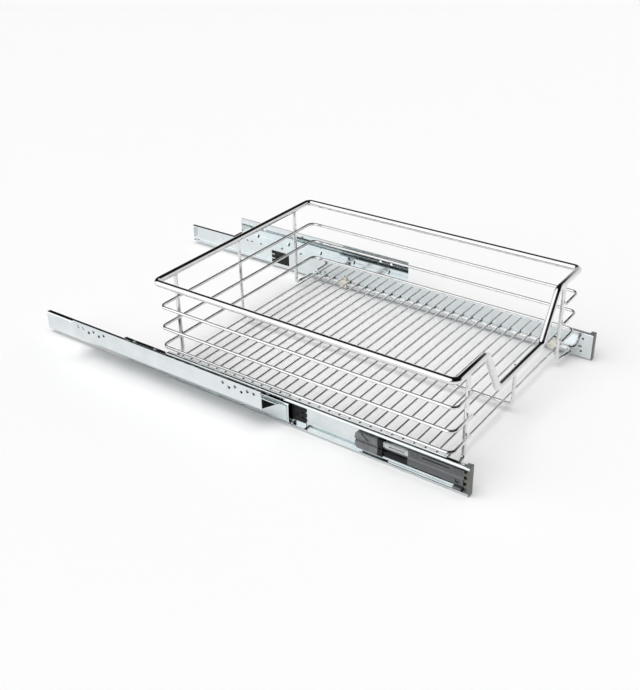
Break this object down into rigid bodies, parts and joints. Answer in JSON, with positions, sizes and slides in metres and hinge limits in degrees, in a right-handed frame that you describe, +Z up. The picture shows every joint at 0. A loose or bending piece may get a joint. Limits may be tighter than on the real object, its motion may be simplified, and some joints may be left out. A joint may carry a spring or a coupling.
{
  "type": "pull-out wire basket",
  "caption": "Chromed wire basket with a low V-shaped front between two ball-bearing soft-close runners, drawn half out of its cabinet rails.",
  "frame": {"origin": "on the surface that the runners stand on, under the middle of the whole object as drawn out", "axes": "+X to the right, seen from the front; +Y from the basket's front towards the back of the cabinet; +Z up"},
  "size_m": [0.465, 0.8156, 0.1535],
  "materials": {
    "chrome_wire": "bright chrome plating on steel wire",
    "zinc_steel": "bright zinc plating on pressed steel",
    "polished_steel": "polished steel",
    "grey_plastic": "moulded grey plastic",
    "black_plastic": "moulded black plastic",
    "cream_plastic": "moulded cream plastic",
    "light_plastic": "moulded pale plastic"
  },
  "bodies": {
    "basket": {"basket_rim": "chrome_wire", "basket_upper_ring": "chrome_wire", "basket_middle_ring": "chrome_wire", "basket_lower_ring": "chrome_wire", "basket_centre_wire": "chrome_wire", "basket_cross_wires": "chrome_wire", "left_side_wire": "chrome_wire", "right_side_wire": "chrome_wire", "left_drawer_channel": "zinc_steel", "left_channel_end_cap": "grey_plastic", "left_guide_pads": "light_plastic", "left_front_clip": "cream_plastic", "left_rear_clip": "cream_plastic", "left_soft_close_housing": "grey_plastic", "left_damper_cylinder": "black_plastic", "right_drawer_channel": "zinc_steel", "right_channel_end_cap": "grey_plastic", "right_guide_pads": "light_plastic", "right_front_clip": "cream_plastic", "right_rear_clip": "cream_plastic", "right_soft_close_housing": "grey_plastic", "right_damper_cylinder": "black_plastic"},
    "left_rail": {"left_cabinet_rail": "zinc_steel", "left_cabinet_bracket": "zinc_steel", "left_bracket_rivets": "polished_steel", "left_activator": "black_plastic"},
    "left_cage": {"left_ball_cage": "zinc_steel", "left_cage_balls": "polished_steel", "left_cage_front_end": "black_plastic", "left_cage_rear_end": "black_plastic"},
    "left_catch": {"left_catch": "grey_plastic", "left_catch_plate": "black_plastic", "left_slider_bar": "grey_plastic", "left_damper_rod": "polished_steel"},
    "right_rail": {"right_cabinet_rail": "zinc_steel", "right_cabinet_bracket": "zinc_steel", "right_bracket_rivets": "polished_steel", "right_activator": "black_plastic"},
    "right_cage": {"right_ball_cage": "zinc_steel", "right_cage_balls": "polished_steel", "right_cage_front_end": "black_plastic", "right_cage_rear_end": "black_plastic"},
    "right_catch": {"right_catch": "grey_plastic", "right_catch_plate": "black_plastic", "right_slider_bar": "grey_plastic", "right_damper_rod": "polished_steel"}
  },
  "joints": [
    {"name": "left_runner_slide", "type": "slide", "parent": "basket", "child": "left_rail", "axis": [0, 1, 0], "range_m": [-0.2668, 0.0832]},
    {"name": "left_cage_slide", "type": "slide", "parent": "basket", "child": "left_cage", "axis": [0, 1, 0], "range_m": [-0.1334, 0.0416]},
    {"name": "left_catch_slide", "type": "slide", "parent": "basket", "child": "left_catch", "axis": [0, 1, 0], "range_m": [-0.036, 0]},
    {"name": "right_runner_slide", "type": "slide", "parent": "basket", "child": "right_rail", "axis": [0, 1, 0], "range_m": [-0.3128, 0.0372]},
    {"name": "right_cage_slide", "type": "slide", "parent": "basket", "child": "right_cage", "axis": [0, 1, 0], "range_m": [-0.1564, 0.0186]},
    {"name": "right_catch_slide", "type": "slide", "parent": "basket", "child": "right_catch", "axis": [0, 1, 0], "range_m": [-0.036, 0]}
  ],
  "couplings": [
    {"joint": "left_cage_slide", "follows": "left_runner_slide", "ratio": 0.5},
    {"joint": "right_cage_slide", "follows": "right_runner_slide", "ratio": 0.5}
  ]
}
